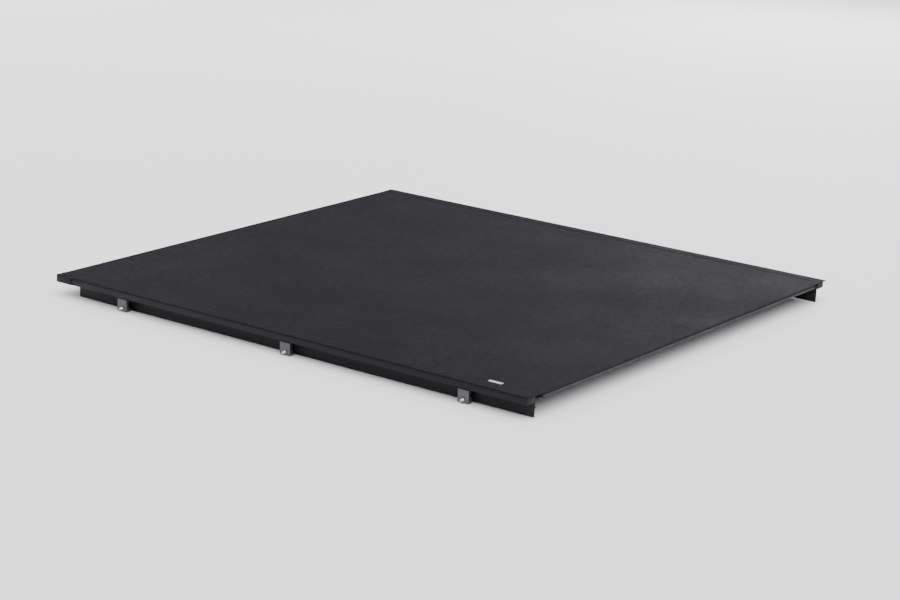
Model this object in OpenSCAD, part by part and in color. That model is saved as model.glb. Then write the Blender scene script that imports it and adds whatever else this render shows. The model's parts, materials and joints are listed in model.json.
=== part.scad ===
// Soft roll-up tonneau cover for a pickup bed, with inside-mounted side rails.
// Frame: +X right, +Y forward (towards the cab), +Z up, millimetres.
// The origin is the middle of the front header's underside, and z = 0 is the plane
// of the bed's rim, on which the header and both side rails sit.

/* [Cover sheet] */
// Overall width of the sheet, across both side rails
cover_w = 1640; // [1560:10:1720]
// Overall length, from the header's front face to the sheet's rear edge
cover_l = 1730; // [1700:5:1800]
// Thickness of the coated sheet
sheet_t = 1.5; // [1:0.1:2]
// Height of the sheet's underside above the bed rim
sheet_bottom = 21; // [20.5:0.1:22]
// Depth of the flap that folds down over the header's front face
front_flap_h = 14; // [13:0.5:16]

/* [Roll] */
// Distance from the header's rear face to the first fold line
fixed_panel_l = 120; // [100:5:140]
// Number of strips between fold lines
strip_count = 20; // [16:1:22]
// How much shorter the last strip is than the first, as a share
strip_taper = 0.2734; // [0:0.01:0.4]
// How the strips shorten: 1 is evenly, less is sooner
strip_taper_power = 0.74; // [0.5:0.01:1.5]
// Width of each fold line's gap
fold_gap = 0.3; // [0.2:0.1:0.6]

/* [Side rails] */
// Width of each rail's hollow box
rail_w = 36; // [32:1:40]
// Height of the hollow box above the bed rim
rail_h = 19; // [17:0.5:19.5]
// Wall of the hollow box
rail_wall = 2.5; // [2:0.1:3]
// Thickness of the web that runs down inside the bed
web_t = 4; // [3:0.5:5]
// How far the web reaches below the bed rim
web_drop = 42; // [40:1:46]
// How far the ledge reaches in from the web
ledge_w = 20; // [16:1:24]
// Thickness of the ledge
ledge_t = 2.5; // [2:0.1:3]
// Clear length between the ledge's front end and the header
ledge_setback = 66; // [62:1:80]

/* [Front header] */
// Length of the header from front to back
header_l = 60; // [56:1:64]
// Wall of the header's hollow extrusion
header_wall = 2.5; // [2:0.1:3]
// Radius of the sheet's welt
welt_r = 2.4; // [2:0.1:2.6]

/* [Cross bows] */
// Strips that carry a bow, counted from the front
bow_strips = [1, 6, 10, 15];
// Width of a bow from front to back
bow_w = 32; // [28:1:36]
// Height of a bow
bow_h = 10; // [8:0.5:10]
// Wall of a bow
bow_wall = 1.6; // [1.2:0.1:2]

/* [Tail bar and latches] */
// Width of the tail bar from front to back
tail_w = 42; // [40:1:44]
// Height of the tail bar
tail_h = 18; // [17:0.5:18.5]
// Wall of the tail bar
tail_wall = 2; // [1.6:0.1:2.4]
// Length of each latch housing
latch_l = 76; // [74:1:80]
// Travel of the latch bolt, from latched to free
latch_travel = 13.5; // [13:0.1:14]
// Width of the latch bolt
bolt_w = 22; // [20:1:24]
// Thickness of the latch bolt
bolt_t = 3; // [2.5:0.1:3]

/* [Bed clamps] */
// Distances of the clamps behind the header's middle
clamp_places = [230, 860, 1480];
// Length of a clamp bracket along the rail
bracket_l = 40; // [34:1:50]
// Length of a clamp jaw along the rail
jaw_l = 36; // [30:1:44]
// Gap between the rail's web and the jaw's pad, as stored
clamp_gap = 14; // [12:1:16]
// Radius of the clamp screw's shank
screw_r = 4; // [4:0.5:4]
// Radial clearance of the screw in its bores
screw_fit = 0.05; // [0.02:0.01:0.09]

/* [Storage straps] */
// Distance of each strap from the middle
strap_x = 520; // [300:10:640]
// Width of the webbing
strap_w = 25; // [20:1:38]
// Thickness of the webbing
strap_t = 1.6; // [1.2:0.1:2]
// Length of the folded strap
strap_fold_l = 78; // [60:1:90]

/* [Hidden] */
$fn = 48;

eps = 0.01;           // overlap that keeps a cut open
free_gap = 0.3;       // clearance between pieces that move apart
half_w = cover_w / 2;
sheet_top = sheet_bottom + sheet_t;

header_front = header_l / 2;
header_rear = -header_l / 2;
tail_edge = header_front - cover_l;
first_fold = header_rear - fixed_panel_l;
roll_l = first_fold - tail_edge;

// strip lengths shorten from the first strip to the last
strip_share = [for (i = [0 : strip_count - 1])
    1 - strip_taper * pow(i / (strip_count - 1), strip_taper_power)];
share_sum = strip_share * [for (i = strip_share) 1];
function strip_l(k) = roll_l * strip_share[k - 1] / share_sum;
function fold_y(k) = k == 1 ? first_fold : fold_y(k - 1) - strip_l(k - 1);
function strip_mid(k) = fold_y(k) - strip_l(k) / 2;

// rail stations, measured out from the middle of the cover
rail_overhang = 4;
rail_out = half_w - rail_overhang;
rail_in = rail_out - rail_w;
web_in = rail_in - web_t;
ledge_in = web_in - ledge_w;
rail_end = tail_edge + 10;
bow_bottom = sheet_bottom - bow_h;
ledge_top = bow_bottom - free_gap;
ledge_bottom = ledge_top - ledge_t;
ledge_front = header_rear - ledge_setback;
edge_r = 1.5;         // round edges of the rails and the header
rail_floor = 4.5;     // thick floor, because the seal's groove is cut into it
rib_depth = 5;
rib_top = -14;
rib_bottom = -17;

// foam seals lie flush in their grooves
seal_w = 12;
seal_depth = 2.5;
seal_fit = 0.1;
rail_seal_mid = rail_in + 26;
header_seal_mid = 18;

tape_w = 28;
tape_t = 1.7;
tape_front = -60;
tape_rear = rail_end + 10;

welt_y = header_front - 3.5;
welt_z = 7.85;
welt_fit = 0.1;

bow_end = web_in - 4;

tail_mid = strip_mid(strip_count);
tail_bottom = sheet_bottom - tail_h;
latch_out = ledge_in - 4;
latch_in = latch_out - latch_l;
spigot_l = 14;
spigot_fit = 0.2;

// latch bolt stations, measured out from the middle of the cover
bolt_tip = ledge_in + 12;
bolt_top = ledge_bottom - free_gap;
bolt_bottom = bolt_top - bolt_t;
lug_t = 2.5;
lug_h = 4;
lug_w = bolt_w - 4;
bolt_root = bolt_tip - 64;
slot_in = bolt_root + 5;
slot_l = 15;
slot_w = 16;
chamber_in = bolt_root - 22;
spring_r = 2.6;
spring_wire_r = 0.4;
spring_turns = 7;
spring_z = bolt_top + 0.5;

// clamp stations
clamp_z = -34;
bracket_in = web_in - 12;
bracket_bottom = -44;
bracket_top = -8;
pad_x = rail_in + clamp_gap;
jaw_bottom = -42;
jaw_floor = -27;
jaw_top = -6;
collar_t = 1.9;
collar_r = 8;
head_t = 7;
head_r = 7.5;
socket_r = 3.5;
socket_depth = 4;
web_hole_r = screw_r + 0.6;

// corner brackets and their screws
corner_leg = 60;
corner_t = 4;
corner_z = [1, 18];
corner_screw_z = 9.5;
corner_screw_r = 3;
corner_hole_r = 3.2;
corner_screw_places = [20, 45];

SIDES = ["left", "right"];
PLACES = ["front", "middle", "rear"];
function two_digits(k) = str(k < 10 ? "0" : "", k);

STRIP_NODES = [for (k = [1 : strip_count]) str("cover_strip_", two_digits(k))];
BOW_NODES = [for (k = [1 : len(bow_strips)]) str("cross_bow_", k)];
JAW_NODES = [for (s = SIDES) for (p = PLACES) str("clamp_jaw_", s, "_", p)];
SCREW_NODES = [for (s = SIDES) for (p = PLACES) str("clamp_screw_", s, "_", p)];

// ---------------------------------------------------------------- helpers

// draws its children, made for the right, on the named side
module on_side(side) {
    if (side == "right") children();
    else mirror([1, 0, 0]) children();
}

module both_sides() {
    for (side = SIDES) on_side(side) children();
}

// extrudes an X-Z outline backwards from y_front to y_rear
module along_y(y_front, y_rear) {
    translate([0, y_front, 0]) rotate([90, 0, 0])
        linear_extrude(y_front - y_rear) children();
}

// extrudes a Y-Z outline across the cover from x_from to x_to
module along_x(x_from, x_to) {
    translate([x_from, 0, 0]) rotate([90, 0, 90])
        linear_extrude(x_to - x_from) children();
}

// a rectangle or a block between two opposite corners
module area(low, high) {
    translate(low) square(high - low);
}

// a rectangle with round corners of radius r
module soft_area(low, high, r) {
    area(low + [r, 0], high - [r, 0]);
    area(low + [0, r], high - [0, r]);
    for (x = [low[0] + r, high[0] - r]) for (y = [low[1] + r, high[1] - r])
        translate([x, y]) circle(r = r, $fn = 32);
}

module block(low, high) {
    translate(low) cube(high - low);
}

// a round bar or bore along X, from x_from to x_to
module round_x(x_from, x_to, r, y, z, sides = 48) {
    translate([x_from, y, z]) rotate([0, 90, 0]) cylinder(h = x_to - x_from, r = r, $fn = sides);
}

// a round bar or bore along Y, from y_front back to y_rear
module round_y(y_front, y_rear, r, x, z) {
    translate([x, y_front, z]) rotate([90, 0, 0]) cylinder(h = y_front - y_rear, r = r);
}

// ---------------------------------------------------------------- side rails

module rail_outline() {
    difference() {
        union() {
            soft_area([web_in, 0], [rail_out, rail_h], edge_r);
            soft_area([web_in, -web_drop], [rail_in, rail_h / 2], edge_r);
        }
        area([rail_in + rail_wall, rail_floor], [rail_out - rail_wall, rail_h - rail_wall]);
        area([rail_seal_mid - seal_w / 2, -1], [rail_seal_mid + seal_w / 2, seal_depth]);
    }
}

module ledge_outline() {
    soft_area([ledge_in, ledge_bottom], [web_in + web_t - 1, ledge_top], 1);
    soft_area([web_in - rib_depth, rib_bottom], [web_in + web_t - 1, rib_top], 1);
}

module side_rail(side) {
    color([0.07, 0.07, 0.08]) on_side(side) difference() {
        union() {
            along_y(header_rear, rail_end) rail_outline();
            along_y(ledge_front, rail_end) ledge_outline();
        }
        for (y = clamp_places)
            round_x(web_in - rib_depth - 1, rail_in + 1, web_hole_r, -y, clamp_z);
        for (y = corner_screw_places)
            round_x(web_in - 1, rail_in + rail_wall + 1, corner_hole_r, header_rear - y, corner_screw_z);
    }
}

module rail_seals() {
    color([0.05, 0.05, 0.05]) both_sides()
        block([rail_seal_mid - seal_w / 2 + seal_fit, rail_end + 5, 0],
              [rail_seal_mid + seal_w / 2 - seal_fit, header_rear - 5, seal_depth - seal_fit]);
}

module rail_hook_tapes() {
    color([0.04, 0.04, 0.04]) both_sides()
        block([rail_out - rail_w / 2 - tape_w / 2, tape_rear, rail_h],
              [rail_out - rail_w / 2 + tape_w / 2, tape_front, rail_h + tape_t]);
}

// the plugs of the rails' rear ends and the header's two ends
module end_caps() {
    cap_t = 2;
    plug_l = 10;
    plug_fit = 0.2;
    color([0.06, 0.06, 0.06]) both_sides() {
        union() {
            block([rail_in, rail_end - cap_t, 0], [rail_out, rail_end, rail_h]);
            block([rail_in + rail_wall + plug_fit, rail_end - eps, rail_floor + plug_fit],
                  [rail_out - rail_wall - plug_fit, rail_end + plug_l, rail_h - rail_wall - plug_fit]);
        }
        union() {
            block([rail_out, header_rear, 0], [rail_out + cap_t, header_front, sheet_bottom]);
            block([rail_out - plug_l, header_rear + header_wall + plug_fit, header_wall + plug_fit],
                  [rail_out + eps, header_seal_mid - 10 - plug_fit, sheet_bottom - header_wall - plug_fit]);
        }
    }
}

// ---------------------------------------------------------------- front header

module header_outline() {
    slot_h = sheet_t + 0.5;
    difference() {
        soft_area([header_rear, 0], [header_front, sheet_bottom], edge_r);
        area([header_rear + header_wall, header_wall],
             [header_seal_mid - 10, sheet_bottom - header_wall]);
        area([header_seal_mid - 7.5, 2 * header_wall],
             [header_seal_mid + 3.5, sheet_bottom - header_wall]);
        area([header_seal_mid - seal_w / 2, -1], [header_seal_mid + seal_w / 2, seal_depth]);
        translate([welt_y, welt_z]) circle(r = welt_r + welt_fit);
        area([welt_y, welt_z - slot_h / 2], [header_front + 1, welt_z + slot_h / 2]);
    }
}

module front_header() {
    color([0.08, 0.08, 0.09]) difference() {
        along_x(-rail_out, rail_out) header_outline();
        both_sides() for (place = corner_screw_places)
            round_y(header_rear + header_wall + 1, header_rear - 1, corner_hole_r,
                    web_in - place, corner_screw_z);
    }
}

module bulkhead_seal() {
    color([0.05, 0.05, 0.05])
        block([-rail_out + 16, header_seal_mid - seal_w / 2 + seal_fit, 0],
              [rail_out - 16, header_seal_mid + seal_w / 2 - seal_fit, seal_depth - seal_fit]);
}

module header_corner_brackets() {
    color([0.55, 0.56, 0.58]) both_sides() difference() {
        union() {
            block([web_in - corner_leg, header_rear - corner_t, corner_z[0]],
                  [web_in, header_rear, corner_z[1]]);
            block([web_in - corner_t, header_rear - corner_leg, corner_z[0]],
                  [web_in, header_rear, corner_z[1]]);
            // gusset across the inside of the corner
            translate([0, 0, corner_z[0]]) linear_extrude(3)
                polygon([[web_in - 1, header_rear - 1], [web_in - 30, header_rear - 1],
                         [web_in - 1, header_rear - 30]]);
        }
        for (place = corner_screw_places) {
            round_y(header_rear + 1, header_rear - corner_t - 1, corner_hole_r,
                    web_in - place, corner_screw_z);
            round_x(web_in - corner_t - 1, web_in + 1, corner_hole_r,
                    header_rear - place, corner_screw_z);
        }
    }
}

// pan-head screws through each corner bracket into the header and the rail
module header_screws() {
    pan_t = 3;
    pan_r = 5.2;
    reach = 12;
    recess_r = 1.8;
    color([0.7, 0.7, 0.72]) both_sides() for (place = corner_screw_places) {
        y_seat = header_rear - corner_t;
        difference() {
            union() {
                round_y(y_seat, y_seat - pan_t, pan_r, web_in - place, corner_screw_z);
                round_y(y_seat + reach, y_seat - eps, corner_screw_r, web_in - place, corner_screw_z);
            }
            translate([web_in - place, y_seat - 1, corner_screw_z]) rotate([90, 0, 0])
                cylinder(h = pan_t, r = recess_r, $fn = 6);
        }
        x_seat = web_in - corner_t;
        difference() {
            union() {
                round_x(x_seat - pan_t, x_seat, pan_r, header_rear - place, corner_screw_z);
                round_x(x_seat - eps, x_seat + reach, corner_screw_r, header_rear - place, corner_screw_z);
            }
            round_x(x_seat - pan_t - 1, x_seat - 1, recess_r, header_rear - place, corner_screw_z, 6);
        }
    }
}

// ---------------------------------------------------------------- sheet

// the round cord that holds the sheet's front edge in the header's groove
module cover_welt() {
    color([0.1, 0.1, 0.1])
        round_x(-rail_out + 12, rail_out - 12, welt_r, welt_y, welt_z);
}

// the part of the sheet that stays on the header and never rolls
module cover_front_panel() {
    flap_rear = welt_y + welt_r + 0.05;
    flap_end = rail_out - 1;
    color([0.16, 0.16, 0.175]) {
        along_x(-half_w, half_w)
            area([first_fold + fold_gap / 2, sheet_bottom], [header_front + sheet_t, sheet_top]);
        along_x(-flap_end, flap_end) {
            area([header_front, sheet_top - front_flap_h - sheet_t],
                 [header_front + sheet_t, sheet_bottom + eps]);
            area([flap_rear, welt_z - sheet_t / 2], [header_front + eps, welt_z + sheet_t / 2]);
        }
    }
}

// one strip of the sheet between two fold lines
module cover_strip(k) {
    color([0.16, 0.16, 0.175])
        block([-half_w, fold_y(k) - strip_l(k) + (k < strip_count ? fold_gap / 2 : 0), sheet_bottom],
              [half_w, fold_y(k) - fold_gap / 2, sheet_top]);
}

// ---------------------------------------------------------------- bows

module cross_bow(k) {
    mid = strip_mid(bow_strips[k - 1]);
    color([0.62, 0.63, 0.65]) along_x(-bow_end, bow_end) difference() {
        soft_area([mid - bow_w / 2, bow_bottom], [mid + bow_w / 2, sheet_bottom], 2);
        area([mid - bow_w / 2 + bow_wall, bow_bottom + bow_wall],
             [mid + bow_w / 2 - bow_wall, sheet_bottom - bow_wall]);
    }
}

// ---------------------------------------------------------------- tail bar

module tail_outline() {
    soft_area([tail_mid - tail_w / 2, tail_bottom], [tail_mid + tail_w / 2, sheet_bottom], 3);
}

module tail_bar() {
    color([0.08, 0.08, 0.09]) along_x(-latch_in, latch_in) difference() {
        tail_outline();
        area([tail_mid - tail_w / 2 + tail_wall, tail_bottom + tail_wall],
             [tail_mid + tail_w / 2 - tail_wall, sheet_bottom - tail_wall]);
    }
}

// a foot on the bar's rear face, with a hollow bulb against the tailgate
module tail_seal() {
    face = tail_mid - tail_w / 2;
    bulb_r = 4.2;
    bulb_z = tail_bottom + 8;
    color([0.04, 0.04, 0.04]) along_x(-latch_out + 2, latch_out - 2) difference() {
        union() {
            area([face - 2, tail_bottom + 3], [face, sheet_bottom - 0.5]);
            translate([face - bulb_r - 1, bulb_z]) circle(r = bulb_r);
            area([tail_edge + 2, sheet_bottom - 2.5], [face, sheet_bottom - 0.5]);
        }
        translate([face - bulb_r - 1, bulb_z]) circle(r = bulb_r - 1.4);
    }
}

// ---------------------------------------------------------------- latches

// a moulded block on each end of the tail bar, with the bolt's channel and finger opening
module latch_housings() {
    channel_half = bolt_w / 2 + free_gap;
    chamber_half = lug_w / 2 + free_gap;
    chamber_top = bolt_top + lug_h + free_gap;
    y = tail_mid;
    color([0.07, 0.07, 0.07]) both_sides() difference() {
        union() {
            along_x(latch_in, latch_out) tail_outline();
            block([latch_in - spigot_l, y - tail_w / 2 + tail_wall + spigot_fit,
                   tail_bottom + tail_wall + spigot_fit],
                  [latch_in + eps, y + tail_w / 2 - tail_wall - spigot_fit,
                   sheet_bottom - tail_wall - spigot_fit]);
        }
        // channel for the bolt's plate, open at the outer end
        block([chamber_in, y - channel_half, bolt_bottom - free_gap],
              [latch_out + 1, y + channel_half, bolt_top + free_gap]);
        // chamber for the spring and the bolt's lug, and for the fingertip
        block([chamber_in, y - chamber_half, bolt_top],
              [slot_in + slot_l + 2, y + chamber_half, chamber_top]);
        // finger opening through the floor
        block([slot_in - latch_travel, y - chamber_half, tail_bottom - 1],
              [slot_in + slot_l + 1.5, y + chamber_half, bolt_bottom]);
    }
}

// a flat steel bolt with a finger slot, a bevelled tip and an upright lug for the spring
module latch_bolt(side) {
    color([0.66, 0.66, 0.68]) on_side(side) translate([0, tail_mid, 0]) difference() {
        union() {
            along_y(bolt_w / 2, -bolt_w / 2)
                polygon([[bolt_root, bolt_bottom], [bolt_tip - 8, bolt_bottom],
                         [bolt_tip, bolt_top - 1.2], [bolt_tip, bolt_top], [bolt_root, bolt_top]]);
            block([bolt_root, -lug_w / 2, bolt_top - eps],
                  [bolt_root + lug_t, lug_w / 2, bolt_top + lug_h]);
        }
        block([slot_in, -slot_w / 2, bolt_bottom - 1], [slot_in + slot_l, slot_w / 2, bolt_top + 1]);
    }
}

// points of one ring of the spring's wire, at angle a along the coil
function spring_ring(a, pitch, sides) = [for (s = [0 : sides - 1])
    let (w = 360 * s / sides, r = spring_r + spring_wire_r * cos(w))
    [pitch * a / 360 + spring_wire_r * sin(w), r * cos(a), r * sin(a)]];

// the return spring between the housing's inner wall and the bolt's lug
module latch_spring(side) {
    steps = 14;
    sides = 8;
    rings = steps * spring_turns + 1;
    clear_l = bolt_root - chamber_in - 2 * spring_wire_r - 0.2;
    pitch = clear_l / spring_turns;
    points = [for (i = [0 : rings - 1]) each spring_ring(360 * i / steps, pitch, sides)];
    walls = [for (i = [0 : rings - 2]) for (s = [0 : sides - 1])
        let (n = (s + 1) % sides)
        [i * sides + s, i * sides + n, (i + 1) * sides + n, (i + 1) * sides + s]];
    start_face = [for (s = [sides - 1 : -1 : 0]) s];
    end_face = [for (s = [0 : sides - 1]) (rings - 1) * sides + s];
    color([0.7, 0.7, 0.72]) on_side(side)
        translate([chamber_in + spring_wire_r + 0.1, tail_mid, spring_z])
            polyhedron(points, concat([start_face], walls, [end_face]));
}

// ---------------------------------------------------------------- bed clamps

// six blocks on the inside of the rails' webs, each hooked over the rail's rib
module clamp_brackets() {
    notch_gap = 0.2;
    color([0.5, 0.51, 0.53]) both_sides() for (place = clamp_places) difference() {
        along_y(-place + bracket_l / 2, -place - bracket_l / 2) difference() {
            polygon([[bracket_in, bracket_bottom], [web_in, bracket_bottom], [web_in, bracket_top],
                     [web_in - 6, bracket_top], [bracket_in, bracket_top - 8]]);
            area([web_in - rib_depth - notch_gap, rib_bottom - notch_gap],
                 [web_in + 1, rib_top + notch_gap]);
        }
        round_x(bracket_in - 1, web_in + 1, screw_r + screw_fit, -place, clamp_z);
    }
}

// an L-shaped jaw that rises outside the bed's hanging flange, with a toothed pad
module clamp_jaw(side, place) {
    arm_in = pad_x - 4;
    back = pad_x + 12;
    tooth = 2;
    color([0.5, 0.51, 0.53]) on_side(side) translate([0, -place, 0]) difference() {
        along_y(jaw_l / 2, -jaw_l / 2) difference() {
            polygon([[arm_in, jaw_bottom], [back, jaw_bottom], [back, jaw_top],
                     [pad_x, jaw_top], [pad_x, jaw_top - 10], [pad_x + 4, jaw_top - 12],
                     [pad_x + 4, jaw_floor], [arm_in, jaw_floor]]);
            for (i = [0 : 3]) translate([pad_x, jaw_top - 1 - i * tooth])
                polygon([[-eps, 0], [-eps, -tooth], [0.9, -tooth / 2]]);
        }
        round_x(arm_in - 1, back + 1, screw_r + screw_fit, 0, clamp_z);
    }
}

// a hex-head M8 screw with a collar, turned from inside the bed
module clamp_screw(side, place) {
    collar_in = bracket_in - 0.1 - collar_t;
    head_in = collar_in - head_t;
    color([0.7, 0.7, 0.72]) on_side(side) difference() {
        union() {
            round_x(head_in, collar_in + eps, head_r, -place, clamp_z, 6);
            round_x(collar_in, collar_in + collar_t, collar_r, -place, clamp_z);
            round_x(collar_in, rail_out, screw_r, -place, clamp_z);
        }
        round_x(head_in - 1, head_in + socket_depth, socket_r, -place, clamp_z, 6);
    }
}

// ---------------------------------------------------------------- storage straps

strap_layers = 4;
strap_pitch = 2 * strap_t;
strap_low = 6;
strap_front = header_rear - 8;
strap_rear = strap_front - strap_fold_l;
function layer_z(i) = strap_low + i * strap_pitch;

// a half turn of webbing at a fold: away is -1 for a rear fold and 1 for a front fold
module strap_turn(y, i, away) {
    intersection() {
        translate([y, layer_z(i) + strap_t / 2 + strap_pitch / 2]) difference() {
            circle(r = strap_pitch / 2 + strap_t / 2, $fn = 32);
            circle(r = strap_pitch / 2 - strap_t / 2, $fn = 32);
        }
        area([min(y - eps, y + away * strap_pitch), 0], [max(y + eps, y + away * strap_pitch), 40]);
    }
}

// webbing folded to and fro under the front panel, with its end sewn to the header
module storage_strap(side) {
    top = layer_z(strap_layers - 1);
    color([0.05, 0.05, 0.05]) on_side(side)
        along_x(strap_x - strap_w / 2, strap_x + strap_w / 2) {
            for (i = [0 : strap_layers - 1])
                area([strap_rear - eps, layer_z(i)], [strap_front + eps, layer_z(i) + strap_t]);
            for (i = [0 : strap_layers - 2])
                strap_turn(i % 2 == 0 ? strap_rear : strap_front, i, i % 2 == 0 ? -1 : 1);
            area([strap_front, top], [header_rear, top + strap_t]);
            area([header_rear - strap_t, layer_z(1)], [header_rear, top + strap_t]);
        }
}

// a side-release buckle behind each folded strap: socket half and plug half, closed
module strap_buckles() {
    w = strap_w + 9;
    low = 8;
    high = 17;
    front = strap_rear - 6;
    plug_rear = front - 46;
    split = front - 30;
    wall = 1.8;
    color([0.04, 0.04, 0.04]) both_sides() translate([strap_x, 0, 0]) {
        difference() {
            block([-w / 2, split, low], [w / 2, front, high]);
            block([-w / 2 + wall, split - 1, low + wall], [w / 2 - wall, front - 9, high - wall]);
            for (x = [-w / 2, w / 2])
                block([x - 4, split + 7, low + wall], [x + 4, front - 11, high - wall]);
            block([-strap_w / 2, front - 6, low - 1], [strap_w / 2, front - 3, high + 1]);
        }
        difference() {
            union() {
                block([-w / 2, plug_rear, low], [w / 2, split - 0.2, high]);
                for (x = [-1, 0, 1])
                    block([x * (w / 2 - 5) - 2, split - 1, low + wall + 0.3],
                          [x * (w / 2 - 5) + 2, front - (x == 0 ? 15 : 11), high - wall - 0.3]);
            }
            for (y = [plug_rear + 3, plug_rear + 9])
                block([-strap_w / 2, y, low - 1], [strap_w / 2, y + 3, high + 1]);
        }
    }
}

// ---------------------------------------------------------------- the nodes

side_rail("left");  // side_rail_left
side_rail("right");  // side_rail_right
front_header();
header_corner_brackets();
header_screws();
bulkhead_seal();
rail_seals();
rail_hook_tapes();
end_caps();
cover_welt();
cover_front_panel();
clamp_brackets();
storage_strap("left");  // storage_strap_left
storage_strap("right");  // storage_strap_right
strap_buckles();
tail_bar();
tail_seal();
latch_housings();
latch_bolt("left");  // latch_bolt_left
latch_bolt("right");  // latch_bolt_right
latch_spring("left");  // latch_spring_left
latch_spring("right");  // latch_spring_right
for (k = [1 : len(bow_strips)])
    cross_bow(k);
for (s = [0 : 1]) for (p = [0 : 2])
    clamp_jaw(SIDES[s], clamp_places[p]);
for (s = [0 : 1]) for (p = [0 : 2])
    clamp_screw(SIDES[s], clamp_places[p]);
for (k = [1 : strip_count])
    cover_strip(k);
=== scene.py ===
"""Looks of the soft roll-up tonneau cover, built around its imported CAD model."""

import json
import math

import bmesh
import bpy
import numpy as np
from mathutils import Matrix, Vector
from mathutils.geometry import delaunay_2d_cdt

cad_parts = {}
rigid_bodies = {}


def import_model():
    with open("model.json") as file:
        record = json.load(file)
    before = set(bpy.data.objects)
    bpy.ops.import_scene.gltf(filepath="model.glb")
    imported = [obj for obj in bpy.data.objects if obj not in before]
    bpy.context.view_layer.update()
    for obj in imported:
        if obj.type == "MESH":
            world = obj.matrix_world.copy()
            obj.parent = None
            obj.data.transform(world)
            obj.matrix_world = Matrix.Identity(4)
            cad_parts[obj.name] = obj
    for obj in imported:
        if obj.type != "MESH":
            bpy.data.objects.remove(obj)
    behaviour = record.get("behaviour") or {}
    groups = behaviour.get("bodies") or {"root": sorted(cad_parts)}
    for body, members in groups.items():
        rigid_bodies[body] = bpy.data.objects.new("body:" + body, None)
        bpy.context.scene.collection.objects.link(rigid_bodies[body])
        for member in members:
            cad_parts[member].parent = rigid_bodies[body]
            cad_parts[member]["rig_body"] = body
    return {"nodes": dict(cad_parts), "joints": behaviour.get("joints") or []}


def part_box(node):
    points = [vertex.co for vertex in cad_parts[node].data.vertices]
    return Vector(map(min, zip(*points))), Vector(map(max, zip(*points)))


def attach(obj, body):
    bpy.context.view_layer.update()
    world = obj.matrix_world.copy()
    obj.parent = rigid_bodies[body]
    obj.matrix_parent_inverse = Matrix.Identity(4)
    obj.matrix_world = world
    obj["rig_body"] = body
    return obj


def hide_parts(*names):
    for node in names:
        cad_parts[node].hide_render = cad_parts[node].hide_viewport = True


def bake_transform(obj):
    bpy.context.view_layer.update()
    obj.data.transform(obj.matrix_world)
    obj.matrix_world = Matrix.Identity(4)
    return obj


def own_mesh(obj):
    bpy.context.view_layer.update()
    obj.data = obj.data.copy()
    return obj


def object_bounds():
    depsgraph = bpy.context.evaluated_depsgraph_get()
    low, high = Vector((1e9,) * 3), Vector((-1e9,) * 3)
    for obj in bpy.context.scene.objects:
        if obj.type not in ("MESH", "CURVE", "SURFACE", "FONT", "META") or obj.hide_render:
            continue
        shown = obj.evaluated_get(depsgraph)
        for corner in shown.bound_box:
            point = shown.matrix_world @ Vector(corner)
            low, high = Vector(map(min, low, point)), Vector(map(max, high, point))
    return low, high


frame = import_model()
cad_low, cad_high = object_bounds()

MM = 0.001
SIDES = {"left": -1, "right": 1}
PLACES = ("front", "middle", "rear")


def node_box(node):
    """A CAD node's box to 0.01 mm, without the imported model's rounding noise."""
    return [[round(v, 5) for v in corner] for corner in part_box(node)]


# Fold lines of the sheet, from the header to the tail, and the strips that carry a bow
FOLDS = [round(joint["pos_m"][1], 4) for joint in frame["joints"] if joint["name"].startswith("roll_")]
BOWS = 4
BOW_STRIPS = [int(frame["nodes"][f"cross_bow_{i}"]["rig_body"].split("_")[1]) for i in range(1, BOWS + 1)]
LAST = len(FOLDS)
(_, TAIL, UNDERSIDE), (HALF_WIDTH, _, HINGE_HEIGHT) = node_box(f"cover_strip_{LAST:02d}")
THICK = round(HINGE_HEIGHT - UNDERSIDE, 5)
UP, DOWN = np.array((0.0, 0.0, 1.0)), np.array((0.0, 0.0, -1.0))
PANEL_END = -0.110  # where the fixed front panel's cloth meets the first piece that bends


def strip_body(k):
    return "rail_frame" if k == 0 else f"strip_{k:02d}"


def strip_mid(k):
    if k == 0:
        return PANEL_END
    return (FOLDS[k - 1] + (FOLDS[k] if k < LAST else TAIL)) / 2


# ---------- mesh helpers

def ramp(value, start, end):
    t = np.clip((np.asarray(value, float) - start) / (end - start), 0, 1)
    return t * t * (3 - 2 * t)


def unit(vectors):
    return vectors / np.linalg.norm(vectors, axis=1)[:, None]


def running_length(points):
    """The distance along a path at each of its points."""
    return np.r_[0, np.cumsum(np.linalg.norm(np.diff(points, axis=0), axis=1))]


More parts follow.
